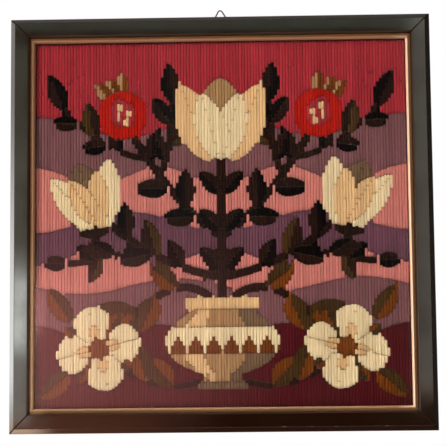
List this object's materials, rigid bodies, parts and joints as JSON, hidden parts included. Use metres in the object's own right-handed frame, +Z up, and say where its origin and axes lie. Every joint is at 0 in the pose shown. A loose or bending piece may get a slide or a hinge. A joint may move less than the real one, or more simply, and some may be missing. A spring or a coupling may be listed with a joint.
{
  "type": "framed embroidery",
  "caption": "Square wool long-stitch embroidery under glass in a mitred dark lacquered frame with a gilt slip, hung by a wire triangle behind its top rail.",
  "frame": {"origin": "inside the top of the wire triangle, where the wall's nail sits", "axes": "+X to the right seen from the front, +Y back towards the wall, +Z up; the picture faces -Y"},
  "size_m": [0.365, 0.0217, 0.3696],
  "materials": {
    "lacquer": "gloss black-brown lacquer, a little worn along the edges",
    "gilt": "gold-coloured gilding with a brighter inner ridge",
    "glass": "clear picture glass, 2 mm",
    "wool": "wool long stitch in reds, pinks, plums, browns and creams",
    "hardboard": "brown hardboard, mesh side out",
    "steel": "dull darkened steel wire and sheet"
  },
  "bodies": {
    "root": {"rail_top": "lacquer", "rail_bottom": "lacquer", "rail_left": "lacquer", "rail_right": "lacquer", "slip_top": "gilt", "slip_bottom": "gilt", "slip_left": "gilt", "slip_right": "gilt", "glass": "glass", "embroidery": "wool", "backing_board": "hardboard", "pin_top_1": "steel", "pin_top_2": "steel", "pin_bottom_1": "steel", "pin_bottom_2": "steel", "pin_left_1": "steel", "pin_left_2": "steel", "pin_right_1": "steel", "pin_right_2": "steel", "hanger_plate": "steel", "hanger_ring": "steel", "hanger_nail": "steel"}
  },
  "joints": []
}
